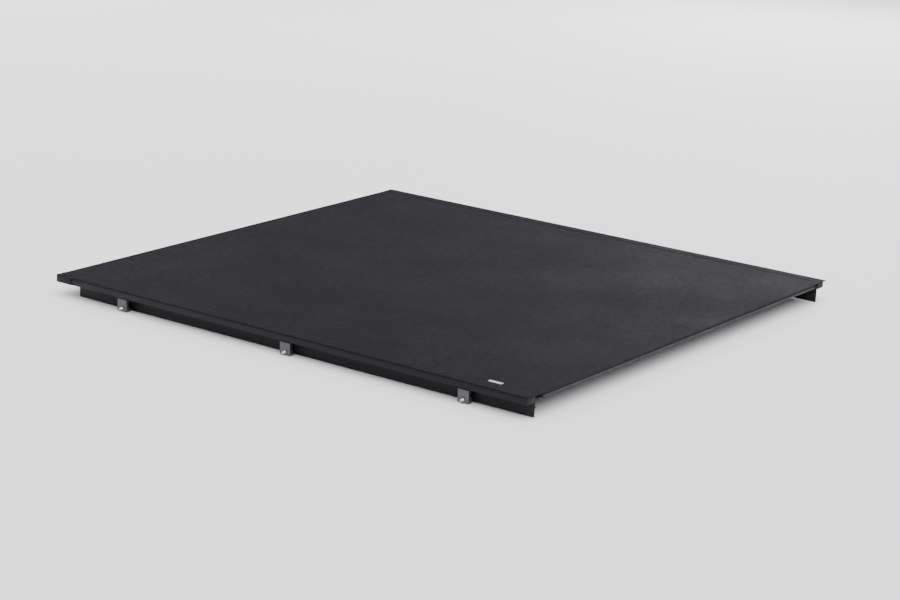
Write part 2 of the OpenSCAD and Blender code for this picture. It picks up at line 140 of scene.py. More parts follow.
class Builder:
    """Collects closed shells and turns them into one mesh object."""

    def __init__(self):
        self.points, self.faces, self.paint, self.uv, self.count = [], [], [], [], 0

    def add(self, points, faces, paint=0, uv=None):
        points = np.asarray(points, float).reshape(-1, 3)
        self.points.append(points)
        self.faces += [tuple(int(i) + self.count for i in f) for f in faces]
        if isinstance(paint, int):
            paint = [paint] * len(faces)
        self.paint += [int(p) for p in paint]
        self.uv.append(points[:, :2] if uv is None else np.asarray(uv, float).reshape(-1, 2))
        self.count += len(points)

    def add_loft(self, shape, paint=0, uv=None, mirrored_caps=False):
        """Adds a solid made of rows of closed loops."""
        self.add(shape, loft_faces(shape.shape[0], shape.shape[1], mirrored_caps), paint, uv)

    def make(self, name, materials, sharp=40, solid=True):
        mesh = bpy.data.meshes.new(name)
        mesh.from_pydata(np.concatenate(self.points).tolist(), [], self.faces)
        mesh.polygons.foreach_set("material_index", self.paint)
        mesh.polygons.foreach_set("use_smooth", [True] * len(self.faces))
        at = np.empty(len(mesh.loops), np.int32)
        mesh.loops.foreach_get("vertex_index", at)
        layer = mesh.uv_layers.new(name="UVMap")
        layer.data.foreach_set("uv", np.concatenate(self.uv)[at].astype(np.float32).ravel())
        if solid:
            work = bmesh.new()
            work.from_mesh(mesh)
            bmesh.ops.recalc_face_normals(work, faces=work.faces)
            work.to_mesh(mesh)
            work.free()
        mesh.set_sharp_from_angle(angle=math.radians(sharp))
        for material in materials:
            mesh.materials.append(material)
        made = bpy.data.objects.new(name, mesh)
        bpy.context.scene.collection.objects.link(made)
        return made


def wall_faces(rows, around):
    """The quads of a tube of closed loops, open at both ends."""
    at = np.arange(rows * around).reshape(rows, around)
    a, b = at[:-1], at[1:]
    return np.stack([a, np.roll(a, -1, 1), np.roll(b, -1, 1), b], -1).reshape(-1, 4)


def loft_faces(rows, around, mirrored_caps=False):
    """Faces of a tube of closed loops, with its two ends capped."""
    faces = wall_faces(rows, around).tolist()
    at = np.arange(rows * around).reshape(rows, around)
    for row, turn in ((at[0], -1), (at[-1], 1)):
        if mirrored_caps:
            for i in range(around // 2 - 1):
                quad = [row[i], row[i + 1], row[around - 2 - i], row[around - 1 - i]]
                faces.append(quad[::turn])
        else:
            faces.append(list(row)[::turn])
    return faces


def side_vectors(path):
    """Two side vectors, without twist, at each point of a path."""
    tangent = unit(np.gradient(path, axis=0))
    side = np.cross(tangent[0], (0.0, 0.0, 1.0) if abs(tangent[0][2]) < 0.9 else (0.0, 1.0, 0.0))
    sides = []
    for t in tangent:
        side = side - t * (side @ t)
        side /= np.linalg.norm(side)
        sides.append(side.copy())
    return np.array(sides), np.cross(tangent, sides)


def full_turn(count):
    return np.linspace(0, 2 * np.pi, count, endpoint=False)


def tube(path, radius, around):
    """The rows of points of a round tube along a path."""
    u, v = side_vectors(path)
    turn = full_turn(around)[None, :, None]
    return path[:, None] + radius * (np.cos(turn) * u[:, None] + np.sin(turn) * v[:, None])


def lofted(name, material, shape, uv=None, mirrored_caps=False, sharp=40):
    """A piece that is one solid made of rows of closed loops."""
    made = Builder()
    made.add_loft(shape, uv=uv, mirrored_caps=mirrored_caps)
    return made.make(name, [material], sharp=sharp)


def place(o, body, *nodes, slot=None):
    """Rides a piece on a body and hides the CAD nodes it replaces. Its slot is not used."""
    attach(o, body)
    if nodes:
        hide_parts(*nodes)
    return o


# ---------- materials

class Paint:
    """A procedural material built layer by layer on one Principled shader."""

    def __init__(self, name, coords="Object"):
        self.material = bpy.data.materials.new(name)
        self.material.use_nodes = True
        self.tree = self.material.node_tree
        self.shader = self.tree.nodes["Principled BSDF"]
        self.coords = self.node("ShaderNodeTexCoord").outputs[coords]

    def node(self, kind, props=None, **inputs):
        made = self.tree.nodes.new(kind)
        for key, value in (props or {}).items():
            setattr(made, key, value)
        for key, value in inputs.items():
            self.plug(made.inputs[key.replace("_", " ")], value)
        return made

    def plug(self, socket, value):
        if isinstance(value, bpy.types.NodeSocket):
            self.tree.links.new(value, socket)
        else:
            socket.default_value = value

    def math(self, operation, a, b=0.0, c=0.0):
        made = self.node("ShaderNodeMath", {"operation": operation})
        for socket, value in zip(made.inputs, (a, b, c)):
            self.plug(socket, value)
        return made.outputs[0]

    def stretched(self, scale):
        if scale == (1, 1, 1):
            return self.coords
        return self.node("ShaderNodeMapping", Vector=self.coords, Scale=scale).outputs[0]

    def noise(self, size, stretch=(1, 1, 1), detail=4.0, roughness=0.55):
        return self.node("ShaderNodeTexNoise", Vector=self.stretched(stretch), Scale=1 / size,
                         Detail=detail, Roughness=roughness).outputs[0]

    def cells(self, size, feature="F1", stretch=(1, 1, 1)):
        return self.node("ShaderNodeTexVoronoi", {"feature": feature},
                         Vector=self.stretched(stretch), Scale=1 / size).outputs["Distance"]

    def waves(self, period, direction="X", distortion=0.0, stretch=(1, 1, 1)):
        return self.node("ShaderNodeTexWave", {"bands_direction": direction},
                         Vector=self.stretched(stretch), Scale=0.31416 / period,
                         Distortion=distortion, Detail=1.0).outputs["Fac"]

    def span(self, value, low, high, to_low=0.0, to_high=1.0):
        made = self.node("ShaderNodeMapRange", {"interpolation_type": "SMOOTHSTEP"})
        for key, v in (("Value", value), ("From Min", low), ("From Max", high),
                       ("To Min", to_low), ("To Max", to_high)):
            self.plug(made.inputs[key], v)
        return made.outputs[0]

    def around(self, value, to_low, to_high):
        """Spreads the middle of a noise over a range, as for a roughness."""
        return self.span(value, 0.3, 0.7, to_low, to_high)

    def mix(self, factor, a, b):
        made = self.node("ShaderNodeMix", {"data_type": "RGBA"})
        self.plug(made.inputs[0], factor)
        for socket, value in ((made.inputs[6], a), (made.inputs[7], b)):
            if not isinstance(value, bpy.types.NodeSocket):
                value = (*value, 1.0)
            self.plug(socket, value)
        return made.outputs[2]

    def sum(self, *terms):
        """Adds (value, weight) pairs."""
        total = None
        for value, weight in terms:
            part = self.math("MULTIPLY", value, weight)
            total = part if total is None else self.math("ADD", total, part)
        return total

    def axis(self, name):
        split = self.node("ShaderNodeSeparateXYZ", Vector=self.coords)
        return split.outputs[name]

    def finish(self, colour, rough, height=None, **fixed):
        self.plug(self.shader.inputs["Base Color"], colour)
        self.plug(self.shader.inputs["Roughness"], rough)
        if height is not None:
            bump = self.node("ShaderNodeBump", Strength=1.0, Distance=1.0, Height=height)
            self.plug(self.shader.inputs["Normal"], bump.outputs[0])
        for key, value in fixed.items():
            self.shader.inputs[key.replace("_", " ")].default_value = value
        return self.material


def vinyl_top():
    """Matte charcoal vinyl with a fine leather grain, worn a little along its hems."""
    p = Paint("cover_vinyl", "UV")
    grain = p.cells(1.5 * MM, "DISTANCE_TO_EDGE", (1, 0.8, 1))
    fine = p.noise(0.5 * MM, detail=2.0)
    cloud = p.noise(0.35, detail=3.0)
    mottle = p.noise(0.018, detail=4.0)
    side = p.math("ABSOLUTE", p.axis("X"))
    chafed = p.span(p.noise(0.0035, detail=6.0), 0.45, 0.75)
    worn = p.math("MULTIPLY", p.span(side, HALF_WIDTH - 0.005, HALF_WIDTH, 0.0, 0.60), chafed)
    dusty = p.span(p.noise(0.12, (1, 0.35, 1), 5.0), 0.42, 0.80)
    pebble = p.span(grain, 0.02, 0.30)
    tone = p.sum((cloud, 0.26), (mottle, 0.20), (pebble, 0.40), (dusty, 0.08))
    base = p.mix(tone, (0.0022, 0.0018, 0.0034), (0.0092, 0.0080, 0.0128))
    colour = p.mix(worn, base, (0.022, 0.021, 0.024))
    rough = p.span(p.sum((mottle, 0.5), (cloud, 0.5)), 0.35, 0.65, 0.62, 0.72)
    height = p.sum((pebble, 0.00014), (fine, 0.00003), (mottle, 0.00008))
    return p.finish(colour, rough, height, Specular_IOR_Level=0.04)


def backing_cloth():
    """The woven polyester backing on the sheet's underside."""
    p = Paint("cover_backing", "UV")
    warp, weft = p.waves(1.7 * MM, "X", 0.6), p.waves(1.5 * MM, "Y", 0.6)
    weave = p.math("MULTIPLY", warp, weft)
    slub = p.noise(0.004, (1, 6, 1))
    cloud = p.noise(0.16, detail=4.0)
    tone = p.sum((weave, 0.55), (slub, 0.35), (cloud, 0.25))
    colour = p.mix(tone, (0.005, 0.005, 0.006), (0.026, 0.026, 0.029))
    rough = p.span(weave, 0.0, 1.0, 0.88, 0.74)
    height = p.sum((weave, 0.00016), (slub, 0.00006))
    return p.finish(colour, rough, height, Specular_IOR_Level=0.2, Sheen_Weight=0.08,
                    Sheen_Roughness=0.5)


def loop_band():
    """The fuzzy half of the touch tape, sewn under the side hems."""
    p = Paint("cover_loop_band", "UV")
    fuzz, curls = p.noise(0.0011, detail=6.0, roughness=0.8), p.cells(0.0021)
    tone = p.sum((fuzz, 0.8), (curls, 0.4))
    colour = p.mix(tone, (0.006, 0.006, 0.007), (0.040, 0.040, 0.044))
    return p.finish(colour, p.around(fuzz, 0.98, 0.86), p.sum((fuzz, 0.0006), (curls, 0.0004)),
                    Specular_IOR_Level=0.12, Sheen_Weight=0.2, Sheen_Roughness=0.4)


def thread():
    """Twisted polyester sewing thread."""
    p = Paint("cover_thread", "UV")
    twist = p.waves(0.9 * MM, "DIAGONAL", 0.4)
    fibre = p.noise(0.0006)
    colour = p.mix(p.sum((twist, 0.6), (fibre, 0.4)), (0.008, 0.008, 0.009), (0.034, 0.033, 0.037))
    return p.finish(colour, p.around(fibre, 0.55, 0.75), p.sum((twist, 0.00008), (fibre, 0.00003)),
                    Specular_IOR_Level=0.35)


def label_cloth():
    """The blank tag's pale, slightly soiled satin."""
    p = Paint("blank_label", "UV")
    weave = p.math("MULTIPLY", p.waves(0.6 * MM, "X", 0.3), p.waves(0.6 * MM, "Y", 0.3))
    soil = p.noise(0.012, detail=5.0)
    colour = p.mix(p.sum((weave, 0.4), (soil, 0.5)), (0.30, 0.30, 0.31), (0.48, 0.48, 0.49))
    return p.finish(colour, p.around(soil, 0.55, 0.70), p.sum((weave, 0.00005), (soil, 0.00003)))


def powder_black(name, along):
    """Black textured powder coat on an extrusion, with faint die lines along it."""
    p = Paint(name)
    stretch = {"x": (0.02, 1, 1), "y": (1, 0.02, 1)}[along]
    peel, speck = p.noise(0.0011, detail=3.0), p.noise(0.00045, detail=2.0)
    lines = p.noise(0.0016, stretch, 3.0)
    cloud, scuff = p.noise(0.14), p.noise(0.006, detail=6.0, roughness=0.7)
    tone = p.sum((lines, 0.35), (cloud, 0.3), (p.span(scuff, 0.56, 0.80), 0.5))
    colour = p.mix(tone, (0.004, 0.004, 0.0045), (0.020, 0.020, 0.022))
    rough = p.span(p.sum((cloud, 0.5), (scuff, 0.5)), 0.35, 0.65, 0.40, 0.60)
    height = p.sum((peel, 0.00006), (speck, 0.00003), (lines, 0.00004))
    return p.finish(colour, rough, height, Specular_IOR_Level=0.12)


def bare_aluminium():
    """Mill-finish extruded aluminium, with die lines along it."""
    p = Paint("bow_mill_finish")
    stretch = (0.01, 1, 1)
    lines, fine = p.noise(0.0011, stretch, 4.0), p.noise(0.0003, stretch, 2.0)
    stain, cloud = p.noise(0.03, detail=6.0, roughness=0.65), p.noise(0.20)
    tone = p.sum((lines, 0.45), (stain, 0.35), (cloud, 0.25))
    colour = p.mix(tone, (0.30, 0.31, 0.32), (0.66, 0.67, 0.68))
    rough = p.around(p.sum((stain, 0.6), (fine, 0.4)), 0.28, 0.50)
    return p.finish(colour, rough, p.sum((lines, 0.00003), (fine, 0.000015)), Metallic=1.0)


def cast_metal():
    """Sand-cast aluminium brackets under black paint worn through at its high spots."""
    p = Paint("clamp_cast_metal")
    sand, pits = p.noise(0.0007, detail=3.0), p.cells(0.0023)
    cloud, wear = p.noise(0.03), p.noise(0.008, detail=6.0, roughness=0.7)
    tone = p.sum((cloud, 0.4), (wear, 0.5), (pits, 0.2))
    colour = p.mix(tone, (0.035, 0.036, 0.038), (0.15, 0.15, 0.155))
    rough = p.around(wear, 0.38, 0.60)
    return p.finish(colour, rough, p.sum((sand, 0.00012), (pits, 0.00010)), Metallic=0.85)


def zinc_steel():
    """Zinc-plated steel with a faint spangle."""
    p = Paint("zinc_plate")
    spangle, stain = p.cells(0.003), p.noise(0.008, detail=5.0)
    fine = p.noise(0.0005)
    colour = p.mix(p.sum((spangle, 0.5), (stain, 0.6)), (0.33, 0.33, 0.31), (0.70, 0.70, 0.67))
    rough = p.around(stain, 0.22, 0.42)
    return p.finish(colour, rough, p.sum((fine, 0.00002), (spangle, 0.00001)), Metallic=1.0)


def spring_steel():
    """Drawn spring wire."""
    p = Paint("spring_steel")
    drawn, stain = p.noise(0.0006, (0.1, 1, 1)), p.noise(0.004)
    colour = p.mix(p.sum((drawn, 0.5), (stain, 0.5)), (0.28, 0.28, 0.29), (0.60, 0.60, 0.62))
    return p.finish(colour, p.around(stain, 0.2, 0.38), p.sum((drawn, 0.00001),), Metallic=1.0)


def moulded_plastic():
    """Black glass-filled nylon with a spark-eroded texture."""
    p = Paint("moulded_black_plastic")
    texture, fine = p.cells(0.0009), p.noise(0.0004)
    flow, scuff = p.noise(0.02, (1, 0.5, 1)), p.noise(0.005, detail=6.0, roughness=0.7)
    tone = p.sum((flow, 0.5), (p.span(scuff, 0.55, 0.8), 0.6))
    colour = p.mix(tone, (0.0045, 0.0045, 0.005), (0.022, 0.022, 0.023))
    rough = p.around(p.sum((flow, 0.5), (scuff, 0.5)), 0.45, 0.62)
    return p.finish(colour, rough, p.sum((texture, 0.00006), (fine, 0.00003)), Specular_IOR_Level=0.14)


def rubber():
    """Extruded black rubber with a pale bloom."""
    p = Paint("seal_rubber")
    skin, draw = p.noise(0.0006), p.noise(0.0014, (0.02, 1, 1))
    bloom = p.noise(0.03, detail=5.0)
    colour = p.mix(p.sum((bloom, 0.7), (draw, 0.3)), (0.007, 0.007, 0.008), (0.036, 0.036, 0.038))
    return p.finish(colour, p.around(bloom, 0.48, 0.72), p.sum((skin, 0.00004), (draw, 0.00004)),
                    Specular_IOR_Level=0.35)


def foam():
    """Closed-cell foam."""
    p = Paint("seal_foam")
    pores, small = p.cells(0.0016), p.cells(0.0007)
    cloud = p.noise(0.04)
    tone = p.sum((pores, 0.9), (cloud, 0.4))
    colour = p.mix(tone, (0.006, 0.006, 0.007), (0.040, 0.040, 0.042))
    return p.finish(colour, p.around(cloud, 0.85, 0.98), p.sum((pores, 0.0005), (small, 0.0002)),
                    Specular_IOR_Level=0.2)


def webbing():
    """Flat polyester webbing: ribs across it and a firm edge, u across and v along, in metres."""
    p = Paint("strap_webbing", "UV")
    ribs, warp = p.waves(2.0 * MM, "Y", 0.3), p.waves(1.1 * MM, "X", 0.4)
    fibre = p.noise(0.0008, (4, 1, 1))
    fade = p.noise(0.05)
    tone = p.sum((ribs, 0.35), (warp, 0.30), (fibre, 0.25), (fade, 0.25))
    colour = p.mix(tone, (0.006, 0.006, 0.007), (0.036, 0.036, 0.040))
    height = p.sum((ribs, 0.00025), (warp, 0.00018), (fibre, 0.00006))
    return p.finish(colour, p.around(fibre, 0.60, 0.80), height, Specular_IOR_Level=0.3,
                    Sheen_Weight=0.2, Sheen_Roughness=0.4)


def hook_nylon():
    """The hook half of the touch tape."""
    p = Paint("hook_nylon")
    weave = p.math("MULTIPLY", p.waves(0.9 * MM, "X", 0.4), p.waves(0.9 * MM, "Y", 0.4))
    cloud = p.noise(0.03)
    colour = p.mix(p.sum((weave, 0.5), (cloud, 0.5)), (0.010, 0.010, 0.011), (0.050, 0.050, 0.054))
    return p.finish(colour, p.around(cloud, 0.45, 0.65), p.sum((weave, 0.0001),),
                    Specular_IOR_Level=0.4)


VINYL, BACKING, LOOPS, THREAD = vinyl_top(), backing_cloth(), loop_band(), thread()
LABEL, WEBBING, HOOKS = label_cloth(), webbing(), hook_nylon()
RAIL_BLACK, HEADER_BLACK = (powder_black("rail_powder_coat", "y"),
                            powder_black("header_powder_coat", "x"))
ALUMINIUM, CAST, ZINC, STEEL = bare_aluminium(), cast_metal(), zinc_steel(), spring_steel()
PLASTIC, RUBBER, FOAM = moulded_plastic(), rubber(), foam()

# ---------- camera, floor and light

FLOOR = cad_low.z - 0.5 * MM
CAMERA_AT = Vector((-5.6216, -4.9055, 1.8904))
CAMERA_AIM = Vector((0.78048, 0.56428, -0.26914)).normalized()
CAMERA_ROLL = math.radians(2.437)

camera = bpy.data.objects.new("camera", bpy.data.cameras.new("camera"))
level = CAMERA_AIM.cross(Vector((0, 0, 1))).normalized()
lift = level.cross(CAMERA_AIM)
across = level * math.cos(CAMERA_ROLL) + lift * math.sin(CAMERA_ROLL)
upward = lift * math.cos(CAMERA_ROLL) - level * math.sin(CAMERA_ROLL)
facing = Matrix((across, upward, -CAMERA_AIM)).transposed().to_4x4()
camera.matrix_world = Matrix.Translation(CAMERA_AT) @ facing
camera.data.sensor_width, camera.data.lens = 36.0, 93.6
camera.data.clip_start, camera.data.clip_end = 0.05, 200.0
bpy.context.scene.collection.objects.link(camera)
bpy.context.scene.camera = camera


def pale_floor():
    p = Paint("studio_floor")
    cloud, fine = p.noise(3.0), p.noise(0.02)
    colour = p.mix(p.sum((cloud, 0.6), (fine, 0.2)), (0.86, 0.86, 0.86), (0.92, 0.92, 0.92))
    return p.finish(colour, p.around(cloud, 0.7, 0.85), None)


def floor_sheet(reach=60, side=13):
    """The floor as one open sheet of side x side points."""
    grid = np.linspace(-reach, reach, side)
    sheet = Builder()
    sheet.add([(x, y, FLOOR) for y in grid for x in grid],
              [(j * side + i, j * side + i + 1, (j + 1) * side + i + 1, (j + 1) * side + i)
               for j in range(side - 1) for i in range(side - 1)])
    return sheet.make("studio_floor", [pale_floor()], solid=False)


floor_sheet()

world = bpy.data.worlds.new("studio")
bpy.context.scene.world = world
world.use_nodes = True
background = world.node_tree.nodes["Background"]
background.inputs["Color"].default_value = (0.93, 0.95, 1.0, 1)
background.inputs["Strength"].default_value = 1.15


def lamp(name, kind, power, at, aim):
    """Adds a lamp that shines from one point towards another, and returns its settings."""
    light = bpy.data.lights.new(name, kind)
    light.energy = power
    made = bpy.data.objects.new(name, light)
    made.location = at
    made.rotation_euler = (Vector(aim) - Vector(at)).to_track_quat("-Z", "Y").to_euler()
    bpy.context.scene.collection.objects.link(made)
    return light


def soft_panel(name, power, at, aim, size):
    light = lamp(name, "AREA", power, at, aim)
    light.shape, light.size, light.size_y = "RECTANGLE", size[0], size[1]


lamp("key_overhead", "SUN", 4.3, (0, 0, 0), (0.35, 0.45, -1.0)).angle = math.radians(70)
soft_panel("sheen_right", 120, (6.5, 1.2, 1.9), (0.8, -0.9, 0), (2.2, 1.6))
soft_panel("sheen_left", 45, (3.6, 5.4, 1.9), (-0.5, -0.3, 0), (2.4, 1.6))

# ---------- the cover sheet

HEM = 0.7 * MM  # how far the doubled cloth of a hem stands up
HEM_INNER = 0.7815
STITCH_ROWS = (0.7862, 0.8140)
REAR_STITCH = TAIL + 4.5 * MM
PITCH, STITCH = 4.0 * MM, 2.9 * MM  # from one stitch to the next, and the length of one
DENT, DENT_WIDTH = 0.28 * MM, 0.9 * MM  # the groove that a row of stitches draws in the cloth
EDGE_ROUND = 1.1 * MM
BAND = (0.7838, 0.8122)  # the loop band under each side hem, across and along
BAND_FRONT, BAND_REAR = -0.057, -1.683
SAG = 0.7 * MM
HALF_BOW, HALF_TAIL_BAR = 0.016, 0.021
HEADER_REAR = node_box("front_header")[0][1]
EDGES = [HEADER_REAR]
for bow in BOW_STRIPS:
    EDGES += [strip_mid(bow) + HALF_BOW, strip_mid(bow) - HALF_BOW]
EDGES.append(strip_mid(LAST) + HALF_TAIL_BAR)
SPANS = list(zip(EDGES[0::2], EDGES[1::2]))  # (front, rear) of each stretch with nothing under it


def slack(x, y):
    """How far the sheet hangs below its stretched plane, in metres."""
    dip = np.zeros(np.broadcast(x, y).shape)
    for front, rear in SPANS:
        t = np.clip((front - y) / (front - rear), 0, 1)
        dip = dip + SAG * np.sin(np.pi * t) ** 2
    inside = 1 - ramp(np.abs(x), 0.700, 0.7745)
    ripple = 0.00012 * np.sin(9.1 * x + 2.3 * y) * np.sin(7.3 * y - 1.9)
    ripple = ripple * (1 - ramp(np.abs(x), 0.60, 0.76))
    return dip * inside + ripple * np.sin(np.pi * np.clip(y / TAIL, 0, 1)) ** 0.5


def hem_rise(x, y):
    """The hems' extra height, a little wavy, with a groove along each row of stitches."""
    side = ramp(np.abs(x), HEM_INNER - 0.0012, HEM_INNER + 0.0004)
    rear = ramp(-y, -(TAIL + 0.0185), -(TAIL + 0.0172))
    wave = 0.00010 * np.sin(151 * y + 0.7 * np.sin(23 * y)) + 0.00007 * np.sin(89 * y + 1.3)
    rise = HEM * np.maximum(side, rear) + wave * side * np.exp(-((np.abs(x) - 0.800) / 0.009) ** 2)
    for row in STITCH_ROWS:
        rise = rise - DENT * np.exp(-((np.abs(x) - row) / DENT_WIDTH) ** 2)
    across_rear = ramp(-np.abs(x), -0.784, -0.776)
    return rise - DENT * np.exp(-((y - REAR_STITCH) / DENT_WIDTH) ** 2) * across_rear


def top_of(x, y):
    """Height of the sheet's top over its underside plane."""
    return THICK + hem_rise(x, y) - slack(x, y)


def bottom_of(x, y):
    """Height of the sheet's underside over its plane, with the loop band's fuzz."""
    inner = ramp(np.abs(x), BAND[0] - 0.0003, BAND[0] + 0.0002)
    outer = ramp(np.abs(x), BAND[1] - 0.0002, BAND[1] + 0.0003)
    fuzz = 0.00006 * np.sin(410 * y + 90 * x)
    on_rail = (1 - ramp(y, BAND_FRONT - MM, BAND_FRONT + MM)) * ramp(y, BAND_REAR - MM, BAND_REAR + MM)
    return -(0.00028 + fuzz) * inner * (1 - outer) * on_rail - slack(x, y)


def sheet_columns():
    """The sheet's points across it: (x, share of its thickness), closest at hems and edges."""
    half = list(np.linspace(0, 0.70, 36))
    half += list(np.linspace(0.70, 0.776, 9))[1:]
    half += [0.7795, 0.7803, 0.7809, 0.7815, 0.7821, 0.7830, 0.7835, 0.7838, 0.7842, 0.7849, 0.7856,
             0.7862, 0.7868, 0.7875, 0.7885, 0.7910, 0.7945, 0.7980, 0.8015, 0.8050, 0.8085, 0.8105,
             0.8118, 0.8122, 0.8126, 0.8133, 0.8140, 0.8147, 0.8155, 0.8170, 0.8188]
    right = [(x, 1.0) for x in half]
    right += [(HALF_WIDTH - EDGE_ROUND * (1 - math.cos(a)), math.sin(a)) for a in np.radians((68, 42, 14))]
    left = [(-x, share) for x, share in right[:0:-1]]
    return np.array(left + right).T


COLUMN_X, COLUMN_SHARE = sheet_columns()
COLS = len(COLUMN_X)
LOOP_X = np.r_[COLUMN_X, COLUMN_X[::-1]]
SHEET_PAINT = [VINYL, BACKING, LOOPS, THREAD]
ON_TOP, BELOW, ON_BAND, STITCHED = range(4)  # places in SHEET_PAINT


def sheet_paint(s):
    """Which material each face has, on a shell whose rows lie at s."""
    middle_x = np.abs(LOOP_X + np.roll(LOOP_X, -1)) / 2
    middle_s = ((s[:-1] + s[1:]) / 2)[:, None]
    paint = np.full((len(s) - 1, 2 * COLS), ON_TOP)
    paint[:, COLS:] = BELOW
    banded = (np.arange(2 * COLS) >= COLS) & (middle_x > BAND[0]) & (middle_x < BAND[1])
    paint[(middle_s < BAND_FRONT) & (middle_s > BAND_REAR) & banded[None, :]] = ON_BAND
    paint[:, [COLS - 1, 2 * COLS - 1]] = ON_TOP
    return paint.ravel().tolist()


def sheet_shell(builder, s, path, width=1.0, round_end=1.0, rise=1.0):
    """A closed shell of the sheet. s is its own length coordinate, in the same sense as y, and
    path has (y, z, normal y, normal z) at each s. The last three are shares, one for all or each."""
    width, round_end, rise = (np.broadcast_to(v, len(s))[:, None] for v in (width, round_end, rise))
    path_y, path_z, normal_y, normal_z = (column[:, None] for column in np.asarray(path).T)
    x, y = COLUMN_X[None, :], s[:, None]
    top = THICK + (top_of(x, y) - THICK) * rise
    bottom = bottom_of(x, y) * rise
    middle, half = (top + bottom) / 2, (top - bottom) / 2 * COLUMN_SHARE * round_end
    offset = np.concatenate([middle + half, (middle - half)[:, ::-1]], 1)
    shape = np.stack([LOOP_X * width, path_y + normal_y * offset, path_z + normal_z * offset], 2)
    uv = np.stack([shape[:, :, 0], y + 0 * offset], 2)
    faces = loft_faces(len(s), 2 * COLS, mirrored_caps=True)
    paint = sheet_paint(s)
    builder.add(shape, faces, paint + [ON_TOP] * (len(faces) - len(paint)), uv)


def add_stitches(builder, starts, ends, out, paint=STITCHED, radius=0.34 * MM, bow=0.16 * MM):
    """Thread stitches between pairs of points; out is the direction they stand up in."""
    along = ends - starts
    sideways = np.cross(unit(along), out)
    turn = full_turn(6)[None, :, None]
    rows = []
    for share, size, sink in ((0.0, 0.35, 0.34), (0.16, 0.9, 0.04), (0.5, 1.0, 0.0), (0.84, 0.9, 0.04),
                              (1.0, 0.35, 0.34)):
        centre = starts + along * share + out * (bow - sink * MM)
        ring = np.cos(turn) * sideways[:, None] + 0.8 * np.sin(turn) * out
        rows.append(centre[:, None] + radius * size * ring)
    for stitch in np.stack(rows, 1):
        builder.add_loft(stitch, paint)


def side_stitches(builder, front, rear):
    """Rows of stitches along both side hems, above and below the sheet."""
    y = -np.arange(math.floor(-front / PITCH), math.ceil(-rear / PITCH) + 1) * PITCH
    y = y[(y > rear) & (y <= front) & (y - STITCH > TAIL + 3 * MM)]
    if not len(y):
        return
    for x in (sign * row for row in STITCH_ROWS for sign in (-1, 1)):
        for height, out, radius, bow in ((top_of, UP, 0.34, 0.16), (bottom_of, DOWN, 0.22, 0.06)):
            z = UNDERSIDE + height(x, y - STITCH / 2)
            starts = np.stack([np.full(len(y), x), y, z], 1)
            add_stitches(builder, starts, starts - (0, STITCH, 0), out, radius=radius * MM, bow=bow * MM)


def row_positions(front, rear, step):
    count = max(2, int(round((front - rear) / step)) + 1)
    return np.linspace(front, rear, count)


def front_panel():
    """The fixed front panel: over the header, down its front face and into the welt groove."""
    face, top, corner, lip = 0.030, UNDERSIDE, 1.5 * MM, 0.25 * MM
    path = [(y, top, 0.0, 1.0) for y in np.linspace(PANEL_END, face - corner, 36)]
    path += [(face - corner * (1 - math.sin(a)), top - corner * (1 - math.cos(a)), math.sin(a), math.cos(a))
             for a in np.radians((15, 30, 45, 60, 75, 90))]
    path += [(face, z, 1.0, 0.0) for z in np.linspace(top - corner, 0.0090, 9)[1:]]
    path += [(face - lip * (1 - math.cos(a)), 0.00885 - lip * math.sin(a), math.cos(a), -math.sin(a))
             for a in np.radians((0, 22, 45, 68, 90))]
    path.append((0.02895, 0.0086, 0.0, -1.0))
    path = np.array(path)
    lengths = running_length(path[:, :2])
    s = PANEL_END + lengths
    down = ramp(s, 0.0285, 0.0310)
    made = Builder()
    sheet_shell(made, s, path, width=1 - down * (5 * MM / HALF_WIDTH), rise=1 - ramp(s, 0.036, 0.041))
    side_stitches(made, 0.024, PANEL_END)
    panel = made.make("cover_front_panel_cloth", SHEET_PAINT)
    place(panel, "rail_frame", "cover_front_panel", slot="cover_fabric")


# The closer rows round each fold line start only just ahead of it
AHEAD, AHEAD_LAST, BEHIND = 6.5 * MM, 4.2 * MM, 27 * MM
BOW_CLEAR, BAR_CLEAR = 22 * MM, 21.5 * MM


def bend_zone(k):
    """Where the closer rows round fold k start and end. They stay clear of a bow and of the tail bar."""
    front, rear = FOLDS[k - 1] + (AHEAD if k < LAST else AHEAD_LAST), FOLDS[k - 1] - BEHIND
    if k in BOW_STRIPS:
        rear = max(rear, strip_mid(k) + BOW_CLEAR)
    if k == LAST:
        rear = strip_mid(k) + BAR_CLEAR
    return front, rear


def bend(piece, k):
    """Bakes a piece's placement into its mesh. The fold k is not used."""
    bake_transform(piece)


def sheet_piece(k):
    """The sheet across fold k, from the middle of one strip to the middle of the next."""
    front, rear = strip_mid(k - 1), strip_mid(k) if k < LAST else TAIL
    zone_front, zone_rear = bend_zone(k)
    s = np.r_[row_positions(front, zone_front + MM, 4.5 * MM)[:-1],
              row_positions(zone_front + MM, zone_rear - MM, 1.4 * MM),
              row_positions(zone_rear - MM, rear, 4.5 * MM)[1:]]
    round_end = 1.0
    if k == LAST:
        turn = np.radians((22, 45, 68))
        s = np.r_[s[s > TAIL + 0.0225], np.linspace(TAIL + 0.021, TAIL + EDGE_ROUND, 24),
                  TAIL + EDGE_ROUND * (1 - np.sin(turn)), TAIL + 0.02 * MM]
        round_end = np.r_[np.ones(len(s) - 4), np.cos(turn), 0.16]
    made = Builder()
    sheet_shell(made, s, [(y, UNDERSIDE, 0.0, 1.0) for y in s], round_end=round_end)
    side_stitches(made, front, rear)
    if k == LAST:
        x = np.arange(-0.780, 0.7765, PITCH)
        y = np.full(len(x), REAR_STITCH)
        starts = np.stack([x, y, UNDERSIDE + top_of(x, y)], 1)
        add_stitches(made, starts, starts + (STITCH, 0, 0), UP)
    piece = made.make(f"cover_sheet_{k:02d}", SHEET_PAINT)
    bend(piece, k)
    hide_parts(f"cover_strip_{k:02d}")


